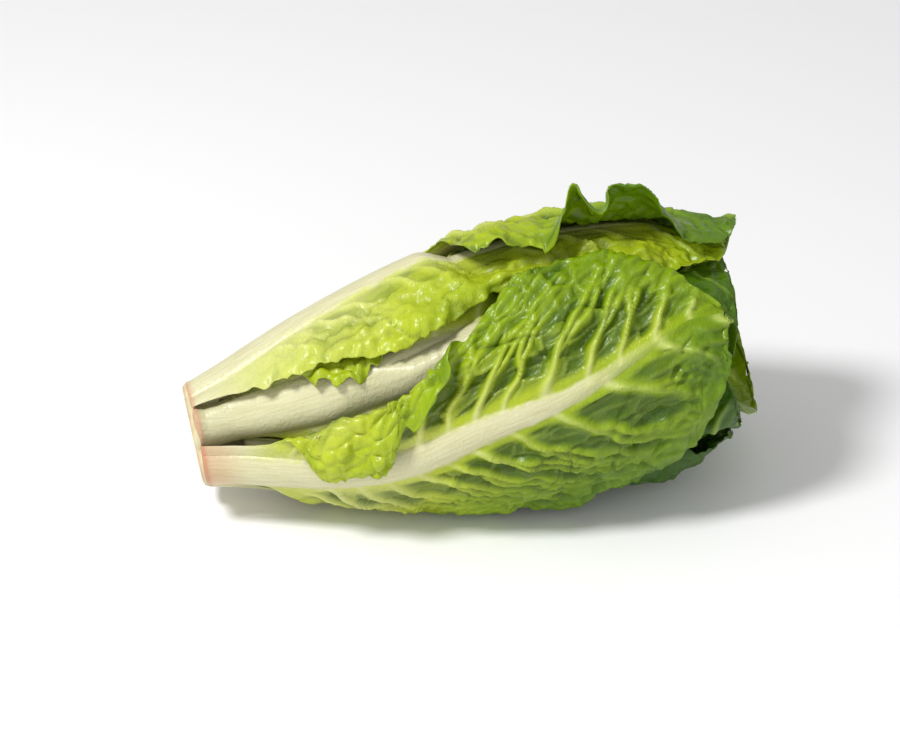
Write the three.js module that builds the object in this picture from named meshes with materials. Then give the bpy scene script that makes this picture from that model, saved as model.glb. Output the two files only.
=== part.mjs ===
// A romaine heart lying on a table: thirteen leaves wrapped round a short stem, in millimetres.
//
// The head has an axis that runs from the cut end of the stem (u = 0) to the leaf tips. It rises a little
// towards the tips, because the head rests on its belly. Round the axis, an angle of 0 points to the front
// (-Y), 90 points up and -90 points down at the table. Every leaf is a closed thin solid. Leaf 1 is the
// outermost, and each leaf lies against the inside of the leaves before it, as on the real head.
import * as THREE from "three";

// Driving dimensions of the whole head
const AXIS_RISE = 9; // degrees that the axis rises towards the tips
const AXIS_HEIGHT = 27.8; // height of the axis above the table at the cut end
const REST_U = 106; // place along the axis over which the part's origin lies
const GOLDEN_ANGLE = 137.5; // degrees from one leaf to the next round the stem
const FIRST_ANGLE = -10; // where the outermost leaf grows
const LEAF_COUNT = 13;
const BIG_LEAVES = 8; // the others are small inner ones
const BLADE = 0.9; // thickness of a leaf's blade
const SNUG = 1.1; // space between two leaves at their bases
const LOOSE = 1.1; // what that space grows by where the head is full
const INNER_LOOSE = 2.3; // what it grows by between the small inner leaves, which stand apart inside the head
const FILLING = [20, 90]; // stretch of the axis over which the head grows full
const FOLD_ROUND = 1.9; // radius of the bend where a wing folds back
const PRESSED = 0.3; // what comes this near to the table lies flat on it

// The head's outer radius along the axis, without the flat where it rests
const HEAD_RADIUS = [
  [0, 19.5],
  [15, 24.5],
  [45, 35.5],
  [80, 45.5],
  [110, 51],
  [140, 52],
  [165, 49.5],
  [185, 44],
  [206, 33],
];
// Depth of the midrib along a leaf, as a share of its length, in mm
const RIB_DEPTH = [
  [0, 3.6],
  [0.07, 5.6],
  [0.3, 4.6],
  [0.55, 2.6],
  [0.8, 1],
  [0.93, 0.1],
];
// Half the midrib's width along a leaf, as a share of its length, in mm
const RIB_HALF = [
  [0, 8.4],
  [0.1, 8.6],
  [0.35, 7.2],
  [0.6, 4.6],
  [0.85, 1.9],
  [1, 1.2],
];

const DEGREE = Math.PI / 180;
const clamp = (x, low, high) => Math.min(high, Math.max(low, x));
const mix = (a, b, t) => a + (b - a) * t;
const smooth = (from, to, x) => {
  const t = clamp((x - from) / (to - from), 0, 1);
  return t * t * (3 - 2 * t);
};

// A smooth curve through the points of a list of [place, value]
function along(points, x) {
  const last = points.length - 1;
  if (x <= points[0][0]) return points[0][1];
  if (x >= points[last][0]) return points[last][1];
  let i = 0;
  while (x > points[i + 1][0]) i++;
  const slope = (k) => {
    const a = points[Math.max(k - 1, 0)];
    const b = points[Math.min(k + 1, last)];
    return (b[1] - a[1]) / (b[0] - a[0]);
  };
  const [x0, y0] = points[i];
  const [x1, y1] = points[i + 1];
  const h = x1 - x0;
  const t = (x - x0) / h;
  const s = 1 - t;
  const ends = y0 * s * s * (1 + 2 * t) + y1 * t * t * (3 - 2 * t);
  return ends + (slope(i) * s - slope(i + 1) * t) * h * t * s;
}

// A curve through such a list that is level at every point, so that it never runs past one
function stepwise(points, x) {
  let value = points[0][1];
  for (let i = 1; i < points.length; i++) {
    value += (points[i][1] - points[i - 1][1]) * smooth(points[i - 1][0], points[i][0], x);
  }
  return value;
}

// The head's outer radius at an angle, held back by the table under it
function headRadius(u, angle) {
  const round = along(HEAD_RADIUS, u);
  const down = -Math.sin(angle * DEGREE);
  if (down <= 0) return round;
  const rise = AXIS_RISE * DEGREE;
  const height = (AXIS_HEIGHT + u * Math.sin(rise)) / Math.cos(rise);
  return Math.min(round, height / down);
}

// A point of the head: u along the axis, an angle round it and a radius from it
function headPoint(u, angle, radius) {
  const rise = AXIS_RISE * DEGREE;
  const up = radius * Math.sin(angle * DEGREE);
  return new THREE.Vector3(
    (u - REST_U) * Math.cos(rise) - up * Math.sin(rise),
    -radius * Math.cos(angle * DEGREE),
    AXIS_HEIGHT + u * Math.sin(rise) + up * Math.cos(rise),
  );
}

// What differs from leaf to leaf. "angle" is where it grows and "bend" its midrib's sideways lean along the
// axis, in degrees. "over" and "under" are the half widths on the sides of growing and of falling angle.
// "shaped" is the side, 1 or -1, whose wing isn't a plain one: "edge" gives its half width, "crest" the
// distance from the midrib at which it bends outwards, "turn" by how many degrees, and "round" the radius of
// that bend. "lifts" are waves of the margin: where, how high and how long. "rows" are places along the leaf
// where its mesh needs a row.
const OWN = {
  1: {
    bend: [[0, -6], [43, -6], [68, 1], [99, 16], [130, 24], [153, 33], [177, 44]],
    tip: 190,
    over: 49,
    under: 56,
    edge: [
      [0, 12.5], [12, 13], [20, 13.5], [26, 15], [31, 19], [37, 29], [44, 42], [54, 46], [66, 49], [73, 40],
      [80, 44], [87, 42], [93, 37.5], [99, 34], [105, 37], [118, 47], [140, 48], [150, 44], [161, 35],
      [175, 24.5], [184, 15], [190, 12],
    ],
    crest: [[20, 12.5], [24, 13], [31, 15.5], [43, 19.5], [49, 21], [68, 24], [82, 27], [96, 31], [106, 36]],
    turn: [[23, 0], [36, 180], [86, 180], [103, 0]],
    wing: [20, 62],
    rows: [28, 32, 36, 40, 87, 91, 95, 99, 103],
  },
  2: {
    bend: [[0, 40], [60, 28], [100, 7], [130, 2], [190, 0]],
    tip: 206,
    over: 46,
    under: 46,
    shaped: -1,
    edge: [
      [0, 10], [60, 9], [88, 8.5], [98, 11], [105, 32], [110, 41], [121, 42], [134, 43], [143, 47],
      [151, 52], [156, 48], [163, 51], [171, 50], [180, 44], [206, 44],
    ],
    crest: [[100, 34], [130, 30], [151, 29], [168, 28], [190, 26]],
    turn: [[134, 0], [150, 75], [156, 50], [163, 75], [171, 70], [185, 0]],
    round: 4.5,
    wing: [40, 90],
    lifts: [[118, 3, 14]],
    rows: [97, 104, 139, 143, 147, 151, 155, 159, 163, 167, 172, 177],
  },
  3: { bend: [[0, 0], [92, 5], [190, 6]], tip: 190, over: 42, under: 48 },
  4: {
    angle: 108,
    bend: [[0, 0], [100, 0], [190, -8]],
    tip: 199,
    over: 42,
    under: 30,
    shaped: -1,
    edge: [
      [0, 12], [13, 15.5], [25, 21.5], [37, 26.5], [59, 33.5], [73, 39], [94, 38.5], [105, 34.5], [122, 29.5],
      [140, 26], [199, 26],
    ],
    lifts: [[56, 3.5, 18]],
    wing: [18, 60],
  },
  5: { tip: 201, over: 37, under: 48 },
  6: { bend: [[0, 0], [190, 8]], tip: 190, over: 33, under: 48, rows: [10, 16, 22] },
  7: {
    angle: 42.5,
    bend: [[0, 0], [38, -5], [76, -2], [99, 4], [167, 18], [186, 25]],
    tip: 197,
    over: 46,
    under: 46,
    edge: [
      [0, 12.5], [22, 12], [30, 13], [38, 17], [48, 24], [60, 25.5], [70, 24], [83, 19], [93, 34], [108, 46],
    ],
    crest: [[0, 11], [30, 10.5], [45, 10.5], [68, 11], [75, 13.5], [83, 18], [92, 26]],
    turn: [[26, 0], [40, 180], [70, 180], [85, 0]],
    wing: [24, 70],
    rows: [27, 30, 33, 37, 74, 78, 81, 84, 88],
  },
  8: { tip: 202, over: 45, under: 45 },
  9: { angle: 100 },
  10: { angle: 322 },
  11: { angle: 180 },
  12: { angle: 54, under: 34 },
  13: { angle: 275, over: 20, under: 20 },
};

function makeLeaf(number) {
  const inner = (number - 1) / (LEAF_COUNT - 1);
  const small = number - BIG_LEAVES; // above 0 for the inner leaves, the innermost the smallest
  const lean = number % 2 ? -9 : 9;
  return {
    number,
    name: "leaf_" + String(number).padStart(2, "0"),
    angle: FIRST_ANGLE + GOLDEN_ANGLE * (number - 1),
    bend: [[0, 0], [190, lean]],
    start: small > 0 ? 8 + 5.5 * small : 3.4 + 0.5 * number,
    tip: 199 - 5 * small,
    over: 45 - 2.2 * small,
    under: 45 - 2.2 * small,
    share: 1 - 0.62 * inner, // how near the leaf lies to the outside, for turning widths into angles
    slack: 1 - 0.75 * inner, // how much room its crinkles have
    loose: small >= 0 ? INNER_LOOSE : LOOSE * (1 - 0.75 * inner), // how loosely the next leaf lies on it
    ribScale: 1 - 0.09 * Math.max(small, 0),
    wing: small > 0 ? [34 + 4 * small, 86] : [22, 62], // where the blade beside the midrib grows wide
    shaped: 1,
    edge: null,
    crest: null,
    turn: null,
    round: FOLD_ROUND,
    rows: [],
    lifts: [],
    phase: 2.4 * number,
    ...OWN[number],
  };
}

const length = (leaf) => leaf.tip - leaf.start;
const partOf = (leaf, u) => clamp((u - leaf.start) / length(leaf), 0, 1);
const midribAngle = (leaf, u) => leaf.angle + along(leaf.bend, u);
const layerRadius = (leaf, u) => along(HEAD_RADIUS, u) * leaf.share;
const ribHalf = (leaf, u) => along(RIB_HALF, partOf(leaf, u)) * leaf.ribScale;
const ribDepth = (leaf, u) => along(RIB_DEPTH, partOf(leaf, u)) * leaf.ribScale;

const TIP_POWER = 2.3; // how square the rounded tip is
const LEAST_WING = 1.8; // blade beside the midrib at the very base
const TIP_REACH = 0.86; // length of the rounded tip, as a share of the half width
const ROUND_FOLD = [0.06, 0.12, 0.19, 0.32, 0.62, 1]; // columns past a crest, as shares of what hangs over
const LEAST_RIB_COLUMN = 4; // the mesh follows the midrib no more closely than this
const TIP_TURN = 70; // degrees of the tip's round that the mesh follows, of 90
const LOBES = 0.06; // size of the lobes on the margins, as a share of the wing

const isShaped = (leaf, side) => leaf.edge !== null && side === leaf.shaped;
const isFolded = (leaf, side) => leaf.crest !== null && side === leaf.shaped;

// Half width of the leaf on one side, measured over its surface
function halfWidth(leaf, side, u) {
  const narrow = ribHalf(leaf, u) + LEAST_WING * leaf.share * leaf.ribScale;
  const full = side > 0 ? leaf.over : leaf.under;
  const wing = smooth(leaf.wing[0], leaf.wing[1], u) * (1 + LOBES * Math.sin(u / 3.9 + leaf.phase + side));
  let wide = narrow + (full - narrow) * wing;
  if (isShaped(leaf, side) && u <= leaf.edge[leaf.edge.length - 1][0]) wide = along(leaf.edge, u);
  const reach = TIP_REACH * full;
  const k = clamp((u - leaf.tip + reach) / reach, 0, 1);
  return wide * Math.pow(1 - Math.pow(k, TIP_POWER), 1 / TIP_POWER);
}

// How far a folded wing is bent outwards, in radians
const foldedTurn = (leaf, u) => stepwise(leaf.turn, u) * DEGREE;

// How far a place on the head lies outside the leaf's outline, in mm, below zero inside it
function outside(leaf, side, y, u) {
  const full = side > 0 ? leaf.over : leaf.under;
  const reach = TIP_REACH * full;
  const k = (u - leaf.tip + reach) / reach;
  let wide = halfWidth(leaf, side, Math.min(u, leaf.tip - reach));
  if (isShaped(leaf, side)) wide = along(leaf.edge, u);
  if (isFolded(leaf, side) && foldedTurn(leaf, u) > 1) {
    wide = Math.min(wide, along(leaf.crest, u) + leaf.round);
  }
  let beyond = y - wide;
  if (k > 0) {
    beyond = (Math.pow(Math.pow(y / wide, TIP_POWER) + Math.pow(k, TIP_POWER), 1 / TIP_POWER) - 1) * wide;
  }
  return Math.max(beyond, (leaf.start - u) * BASE_STEEPNESS);
}

const RIB_ROUND = 0.8; // how full the midrib's cross section is
const RIB_RELIEF = 0.55; // share of the midrib's depth that stands out on the outer face
const RELIEF_FADE = 14; // distance beside the midrib over which the blade comes up to its level
const CRINKLE_LEAST = 0.25; // room for the crinkles at the base
const CRINKLE_GROWTH = 2.4; // what that room grows by towards the tip
const CRINKLED = [35, 95]; // stretch of the axis over which it grows

const ribShape = (q) => Math.pow(Math.max(0, 1 - q * q), RIB_ROUND);

// Depth of the blade beside the midrib below the midrib's outer crest
function sink(leaf, y, u) {
  const relief = RIB_RELIEF * ribDepth(leaf, u);
  const half = ribHalf(leaf, u);
  const away = Math.abs(y);
  if (away < half) return relief * (1 - ribShape(away / half));
  return relief * Math.exp((half - away) / RELIEF_FADE);
}

const thickness = (leaf, y, u) => BLADE + ribDepth(leaf, u) * ribShape(Math.abs(y) / ribHalf(leaf, u));

// Room that the leaf's crinkles need under its smooth surface
function crinkleRoom(leaf, y, u) {
  const away = smooth(0.6, 2.6, Math.abs(y) / ribHalf(leaf, u)); // none on the midrib itself
  return leaf.slack * (CRINKLE_LEAST + CRINKLE_GROWTH * smooth(...CRINKLED, u)) * away;
}

// The room left inside the head is a map of radii, with rows along the axis and columns round it. Each leaf
// lies on the map that the leaves outside it have left, and then takes its own thickness from the map.
const MAP_STEP = 3; // mm along the axis from row to row
const MAP_ROWS = 71;
const MAP_COLUMNS = 120;
const STEEPEST = 0.45; // how steeply a leaf rises past the margin of the leaf that lies on it
const MARGIN_REACH = [1.5, 5]; // how far past a leaf's margin its own thickness is still left free
const COVER_REACH = 10; // how far past a leaf's margin the leaves inside it are still held down
const BASE_STEEPNESS = 3; // how fast a leaf counts as far away below its base
const columnAngle = (k) => (360 * k) / MAP_COLUMNS;

const makeMap = (value) =>
  Array.from({ length: MAP_ROWS }, (_, i) =>
    Array.from({ length: MAP_COLUMNS }, (_, k) => value(i, (k + MAP_COLUMNS) % MAP_COLUMNS)),
  );

function lookUp(map, u, angle) {
  const row = clamp(u / MAP_STEP, 0, MAP_ROWS - 1.001);
  const column = (THREE.MathUtils.euclideanModulo(angle, 360) / 360) * MAP_COLUMNS;
  const [i, k] = [Math.floor(row), Math.floor(column)];
  const [f, g] = [row - i, column - k];
  const between = (r) => r[k % MAP_COLUMNS] * (1 - g) + r[(k + 1) % MAP_COLUMNS] * g;
  return between(map[i]) * (1 - f) + between(map[i + 1]) * f;
}

// Keeps the map from rising more steeply than a leaf can
function easeSteps(map) {
  const arc = (360 / MAP_COLUMNS) * DEGREE;
  for (const row of map) {
    for (let k = 1; k < 2 * MAP_COLUMNS; k++) {
      const [a, b] = [(k - 1) % MAP_COLUMNS, k % MAP_COLUMNS];
      row[b] = Math.min(row[b], row[a] * (1 + STEEPEST * arc));
    }
    for (let k = 2 * MAP_COLUMNS - 1; k > 0; k--) {
      const [a, b] = [k % MAP_COLUMNS, (k - 1) % MAP_COLUMNS];
      row[b] = Math.min(row[b], row[a] * (1 + STEEPEST * arc));
    }
  }
  for (let i = 1; i < MAP_ROWS; i++) {
    map[i] = map[i].map((r, k) => Math.min(r, map[i - 1][k] + STEEPEST * MAP_STEP));
  }
  for (let i = MAP_ROWS - 2; i >= 0; i--) {
    map[i] = map[i].map((r, k) => Math.min(r, map[i + 1][k] + STEEPEST * MAP_STEP));
  }
}

// How far a place on the head lies from the leaf's midrib, on which side, and how far outside its outline
function placeOn(leaf, u, angle) {
  const turn = THREE.MathUtils.euclideanModulo(angle - midribAngle(leaf, u) + 180, 360) - 180;
  const y = Math.abs(turn) * DEGREE * layerRadius(leaf, u);
  return { y, beyond: outside(leaf, Math.sign(turn) || 1, y, u) };
}

// Lays the leaves on the map one after another. Each keeps the map that it lies on and how far it is covered.
function layLeaves(leaves) {
  let space = makeMap((i, k) => headRadius(i * MAP_STEP, columnAngle(k)));
  let cover = makeMap(() => 0);
  for (const leaf of leaves) {
    leaf.space = space;
    leaf.cover = cover;
    const steepness = (i, k) => {
      const [before, after] = [Math.max(i - 1, 0), Math.min(i + 1, MAP_ROWS - 1)];
      const rise = (leaf.space[after][k] - leaf.space[before][k]) / ((after - before) * MAP_STEP);
      const row = leaf.space[i];
      const round = row[(k + 1) % MAP_COLUMNS] - row[(k + MAP_COLUMNS - 1) % MAP_COLUMNS];
      return Math.hypot(1, rise, round / (2 * (360 / MAP_COLUMNS) * DEGREE * row[k]));
    };
    space = makeMap((i, k) => {
      const u = i * MAP_STEP;
      const { y, beyond } = placeOn(leaf, u, columnAngle(k));
      const here = 1 - smooth(...MARGIN_REACH, beyond);
      const body = sink(leaf, y, u) + thickness(leaf, y, u) + crinkleRoom(leaf, y, u);
      const gap = SNUG + leaf.loose * smooth(...FILLING, u);
      return leaf.space[i][k] - here * (body * steepness(i, k) + gap);
    });
    easeSteps(space);
    cover = makeMap((i, k) => {
      const { beyond } = placeOn(leaf, i * MAP_STEP, columnAngle(k));
      return Math.max(leaf.cover[i][k], 1 - smooth(0, COVER_REACH, beyond));
    });
  }
  return space;
}

const SWELL_LENGTH = 4.1; // the crinkles' length along the leaf, over 2 pi
const SWELL_WIDTH = 6.3; // and across it
const SWELL_BOW = 7; // how they bow across the leaf
const WAVE_LENGTH = 5.2; // the margin waves' length, over 2 pi
const FLARE = 1.6; // how far a free margin stands out on average, and how high its waves are
const CALM_TIP = 16; // length of the tip over which all this grows calm
const CALM_LEAST = 0.4; // what is left of it at the very tip

// Crinkles and margin waves, as a depth below the smooth outer surface; below zero they stand out
function crinkle(leaf, y, u, edge, free) {
  const lengthwise = Math.sin(u / SWELL_LENGTH + 1.3 * Math.sin(y / SWELL_BOW) + leaf.phase);
  const swell = 0.5 + 0.5 * lengthwise * Math.cos(y / SWELL_WIDTH + leaf.phase);
  const wave = Math.sin(u / WAVE_LENGTH + leaf.phase);
  const calm = mix(CALM_LEAST, 1, smooth(0, CALM_TIP, leaf.tip - u));
  const atMargin = 0.25 * wave * smooth(0.55, 1, edge);
  const inward = calm * crinkleRoom(leaf, y, u) * clamp(0.75 * swell + atMargin, 0, 1);
  const flare = calm * smooth(40, 90, u) * FLARE * (1 + wave * smooth(0.55, 1, edge)) * smooth(0.5, 1, edge);
  return inward * (1 - 0.5 * free) - free * flare;
}

// How far the margin of a leaf is lifted on its falling side
function lift(leaf, side, u, edge) {
  if (side > 0) return 0;
  let height = 0;
  for (const [at, high, wide] of leaf.lifts) height += high * Math.exp(-Math.pow((u - at) / wide, 2));
  return height * smooth(0.3, 1, edge);
}

const RUFFLE = 0.8; // height of the waves of a wing that is folded back

// A wing that bends outwards at its crest: how far from the midrib a place on it lies, and how high it stands
function bent(leaf, u, sheet) {
  const crest = along(leaf.crest, u);
  const past = sheet - crest;
  if (past <= 0) return { y: sheet, height: 0 };
  const turn = foldedTurn(leaf, u);
  const round = Math.min(past / leaf.round, turn);
  const straight = past - round * leaf.round;
  const hangs = smooth(0, 8, straight) * smooth(2, Math.PI, turn);
  const ruffle = RUFFLE * (1 + Math.sin(u / 3.4 + sheet / 5)) * hangs;
  return {
    y: crest + leaf.round * Math.sin(round) + straight * Math.cos(turn),
    height: leaf.round * (1 - Math.cos(round)) + straight * Math.sin(turn) + ruffle,
  };
}

const FLATTENED = 0.9; // where the table holds the head back by this much, it lies smooth
const CLEAR = 7; // height above the table from which margins stand out freely

// A point in the middle of the leaf's thickness, at a share across its width, from -1 to 1
function leafPoint(leaf, u, share) {
  const side = share < 0 ? -1 : 1;
  const edge = Math.abs(share);
  const sheet = edge * halfWidth(leaf, side, u);
  const folds = isFolded(leaf, side);
  const { y, height } = folds ? bent(leaf, u, sheet) : { y: sheet, height: 0 };
  const angle = midribAngle(leaf, u) + (side * y) / (layerRadius(leaf, u) * DEGREE);
  const outer = lookUp(leaf.space, u, angle);
  const uncovered = 1 - lookUp(leaf.cover, u, angle);
  const held = uncovered * smooth(0, FLATTENED, along(HEAD_RADIUS, u) - headRadius(u, angle));
  const free = uncovered * smooth(0, CLEAR, headPoint(u, angle, outer).z);
  const under = folds ? Math.min(sheet, along(leaf.crest, u)) : y;
  const depth = (sink(leaf, under, u) + crinkle(leaf, under, u, edge, free)) * (1 - held);
  const raised = height + free * lift(leaf, side, u, edge);
  return headPoint(u, angle, outer - depth - thickness(leaf, sheet, u) / 2 + raised);
}

const ROWS = 20; // rows of a big leaf's mesh
const INNER_ROWS = 13; // rows of a small inner leaf's
const TIP_ROWS = 0.32; // share of them round the tip
const ROWS_APART = 2.5; // rows that stand nearer than this to a row of the leaf's own are left out
const WING_COLUMNS = 4;

// Places along the axis for the rows of a leaf's mesh, closer together round its tip
function rowPlaces(leaf, rows) {
  const places = [];
  const reach = TIP_REACH * Math.min(leaf.over, leaf.under);
  const tipRows = Math.round(rows * TIP_ROWS);
  for (let i = 0; i < rows - tipRows; i++) {
    places.push(leaf.start + ((length(leaf) - reach) * i) / (rows - tipRows));
  }
  for (let i = 0; i <= tipRows; i++) {
    places.push(leaf.tip - reach + reach * Math.sin((TIP_TURN * DEGREE * i) / tipRows));
  }
  const apart = places.filter((u) => leaf.rows.every((own) => Math.abs(u - own) > ROWS_APART));
  return apart.concat(leaf.rows).sort((a, b) => a - b);
}

// Places across a leaf for the columns of its mesh, as shares from -1 to 1 at one row. On a folded wing they
// stand closer together round the crest.
function columnShares(leaf, u, wings) {
  const shares = [0];
  for (const side of [-1, 1]) {
    const reach = Math.max(halfWidth(leaf, side, u), 1e-6);
    const widest = reach * (0.84 - 0.5 * smooth(0.5, 0.85, partOf(leaf, u)));
    const rib = Math.min(Math.max(ribHalf(leaf, u), LEAST_RIB_COLUMN), widest);
    const half = [0.55 * rib, rib];
    if (isFolded(leaf, side)) {
      const hang = smooth(6, 24, reach - along(leaf.crest, u));
      const crest = Math.min(along(leaf.crest, u), mix(rib, reach, 0.6));
      half.push(mix(rib, crest, 0.5), crest);
      ROUND_FOLD.forEach((part, k) => half.push(mix(crest, reach, mix((k + 1) / 6, part, hang))));
    } else {
      for (let k = 1; k <= wings; k++) half.push(rib + (reach - rib) * (k / wings));
    }
    half.forEach((y) => (side > 0 ? shares.push(y / reach) : shares.unshift(-y / reach)));
  }
  return shares;
}

// A closed solid from a grid of middle points and the thickness at each of them
function solidSheet(points, depths) {
  const rows = points.length;
  const columns = points[0].length;
  const outward = (row, column) => {
    const i = clamp(row, 1, rows - 2);
    const j = clamp(column, 1, columns - 2);
    const down = points[i + 1][j].clone().sub(points[i - 1][j]);
    const across = points[i][j + 1].clone().sub(points[i][j - 1]);
    return across.cross(down).normalize();
  };
  const positions = [];
  for (const half of [0.5, -0.5]) {
    for (let i = 0; i < rows; i++) {
      for (let j = 0; j < columns; j++) {
        const p = points[i][j].clone().addScaledVector(outward(i, j), half * depths[i][j]);
        positions.push(p.x, p.y, p.z < PRESSED ? 0 : p.z);
      }
    }
  }
  const index = [];
  const top = (i, j) => i * columns + j;
  const under = (i, j) => rows * columns + i * columns + j;
  for (let i = 0; i < rows - 1; i++) {
    for (let j = 0; j < columns - 1; j++) {
      index.push(top(i, j), top(i, j + 1), top(i + 1, j + 1), top(i, j), top(i + 1, j + 1), top(i + 1, j));
      index.push(under(i, j), under(i + 1, j + 1), under(i, j + 1));
      index.push(under(i, j), under(i + 1, j), under(i + 1, j + 1));
    }
  }
  const rim = [];
  for (let j = 0; j < columns - 1; j++) rim.push([0, j]);
  for (let i = 0; i < rows - 1; i++) rim.push([i, columns - 1]);
  for (let j = columns - 1; j > 0; j--) rim.push([rows - 1, j]);
  for (let i = rows - 1; i > 0; i--) rim.push([i, 0]);
  rim.forEach(([i, j], k) => {
    const [ni, nj] = rim[(k + 1) % rim.length];
    index.push(top(i, j), under(ni, nj), top(ni, nj), top(i, j), under(i, j), under(ni, nj));
  });
  const geometry = new THREE.BufferGeometry();
  geometry.setAttribute("position", new THREE.Float32BufferAttribute(positions, 3));
  geometry.setIndex(index);
  geometry.computeVertexNormals();
  return geometry;
}

function leafGeometry(leaf) {
  const places = rowPlaces(leaf, leaf.number <= BIG_LEAVES ? ROWS : INNER_ROWS);
  const points = [];
  const depths = [];
  for (const u of places) {
    const shares = columnShares(leaf, u, WING_COLUMNS);
    points.push(shares.map((s) => leafPoint(leaf, u, s)));
    depths.push(shares.map((s) => thickness(leaf, Math.abs(s) * halfWidth(leaf, Math.sign(s) || 1, u), u)));
  }
  return solidSheet(points, depths);
}

// The short stem that carries the leaves. Its cut end has the outline of the leaf stalks that grow round it.
// Inside them it fills what they leave free, and tapers.
const CORE_LENGTH = 52;
const BUTT_LENGTH = 2.8; // the end of the stem that the stalks grow out of
const BUTT_LEAST = 15.5; // radius of that end between two stalks
const BUTT_BEVEL = 0.5; // how much smaller the cut face is
const STALKS_AT = 6; // place along the axis from which the stalks' outline is taken
const CORE_LEAST = 1.5;
const CORE_RINGS = [0, 1, BUTT_LENGTH, 4.2, 6, 8, 10.5, 14, 18, 23, 29, 36, 44, CORE_LENGTH];
const CORE_AROUND = 36;
const CORE_TAPER = [
  [0, 19.2],
  [4, 16],
  [14, 12],
  [30, 7],
  [52, 2.5],
];

// Radius of the cut end at an angle: that of the outermost stalk there
function buttRadius(leaves, u, angle) {
  let radius = BUTT_LEAST;
  for (const leaf of leaves.slice(0, BIG_LEAVES)) {
    const { y } = placeOn(leaf, STALKS_AT, angle);
    const narrower = along(HEAD_RADIUS, STALKS_AT) - along(HEAD_RADIUS, u);
    const stalk = lookUp(leaf.space, STALKS_AT, angle) - sink(leaf, y, STALKS_AT) - narrower;
    if (y < ribHalf(leaf, STALKS_AT)) radius = Math.max(radius, stalk);
  }
  return radius;
}

function coreGeometry(leaves, left) {
  const rings = CORE_RINGS;
  const around = CORE_AROUND;
  const positions = [];
  for (const u of rings) {
    for (let k = 0; k < around; k++) {
      const angle = (360 * k) / around;
      let radius = buttRadius(leaves, u, angle) - BUTT_BEVEL * Math.exp(-2 * u);
      if (u > BUTT_LENGTH) radius = Math.min(along(CORE_TAPER, u), lookUp(left, u, angle));
      const p = headPoint(u, angle, Math.max(radius, CORE_LEAST));
      positions.push(p.x, p.y, p.z);
    }
  }
  const ends = [0, CORE_LENGTH].map((u) => headPoint(u, 0, 0));
  ends.forEach((p) => positions.push(p.x, p.y, p.z));
  const first = rings.length * around;
  const index = [];
  for (let k = 0; k < around; k++) {
    const next = (k + 1) % around;
    index.push(first, k, next);
    for (let i = 0; i < rings.length - 1; i++) {
      const a = i * around;
      const b = a + around;
      index.push(a + k, b + k, b + next, a + k, b + next, a + next);
    }
    const last = (rings.length - 1) * around;
    index.push(first + 1, last + next, last + k);
  }
  const geometry = new THREE.BufferGeometry();
  geometry.setAttribute("position", new THREE.Float32BufferAttribute(positions, 3));
  geometry.setIndex(index);
  geometry.computeVertexNormals();
  return geometry;
}

const heart = new THREE.Group();
const leaves = [];
for (let number = 1; number <= LEAF_COUNT; number++) leaves.push(makeLeaf(number));
const left = layLeaves(leaves);

function addPiece(name, geometry, colour, roughness) {
  const material = new THREE.MeshStandardMaterial({ color: colour, roughness, metalness: 0 });
  const mesh = new THREE.Mesh(geometry, material);
  mesh.name = name;
  heart.add(mesh);
}

addPiece("stem_core", coreGeometry(leaves, left), 0xe6e0bd, 0.6);
for (const leaf of leaves) {
  const shade = new THREE.Color(0x7fa62a).lerp(new THREE.Color(0xd6dc6a), (leaf.number - 1) / LEAF_COUNT);
  addPiece(leaf.name, leafGeometry(leaf), shade, 0.45);
}

export default heart;
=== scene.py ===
# A romaine heart lying on its belly: the leaves from the outermost inwards, then the stem that carries them.
import math

import bmesh
import bpy
import numpy as np
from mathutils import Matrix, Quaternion, Vector


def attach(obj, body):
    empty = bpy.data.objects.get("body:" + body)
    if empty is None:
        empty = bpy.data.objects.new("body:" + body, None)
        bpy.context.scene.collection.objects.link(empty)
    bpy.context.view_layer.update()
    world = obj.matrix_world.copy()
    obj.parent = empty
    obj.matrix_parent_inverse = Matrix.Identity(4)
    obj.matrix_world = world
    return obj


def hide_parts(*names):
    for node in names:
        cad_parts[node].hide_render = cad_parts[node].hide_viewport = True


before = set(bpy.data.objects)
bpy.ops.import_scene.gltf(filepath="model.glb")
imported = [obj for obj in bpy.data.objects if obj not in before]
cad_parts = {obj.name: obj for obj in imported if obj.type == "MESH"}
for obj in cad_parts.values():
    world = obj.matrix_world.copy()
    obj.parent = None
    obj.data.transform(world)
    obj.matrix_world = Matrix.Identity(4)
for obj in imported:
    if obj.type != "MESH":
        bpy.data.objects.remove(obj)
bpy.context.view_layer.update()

# Camera: it looks at the front of the head from above, with a long lens, and the cut stem is on its left.
AZIMUTH = math.radians(-8)
ELEVATION = math.radians(30)
ROLL = math.radians(-0.8)
DISTANCE = 1.4
LENS = 156.8
AIM = Vector((-0.0119, 0.001, 0.0432))
FARTHEST_SEEN = 20

towards_camera = Vector(
    (
        math.sin(AZIMUTH) * math.cos(ELEVATION),
        -math.cos(AZIMUTH) * math.cos(ELEVATION),
        math.sin(ELEVATION),
    )
)
camera = bpy.data.objects.new("camera", bpy.data.cameras.new("camera"))
camera.data.lens = LENS
camera.data.clip_end = FARTHEST_SEEN
camera.location = AIM + towards_camera * DISTANCE
camera.rotation_mode = "QUATERNION"
camera.rotation_quaternion = towards_camera.to_track_quat("Z", "Y") @ Quaternion((0, 0, 1), ROLL)
bpy.context.collection.objects.link(camera)
bpy.context.scene.camera = camera

# Floor and light: a pale studio floor, a soft light above and to the left, a weak broad one in front, and
# white walls all round.
FLOOR_SIDE = 12
FLOOR_WHITE = (0.93, 0.93, 0.93, 1)
FLOOR_ROUGHNESS = 0.9
WALL_WHITE = (1, 1, 1, 1)
WALL_LIGHT = 0.5
bpy.context.scene.view_settings.view_transform = "Standard"


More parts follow.
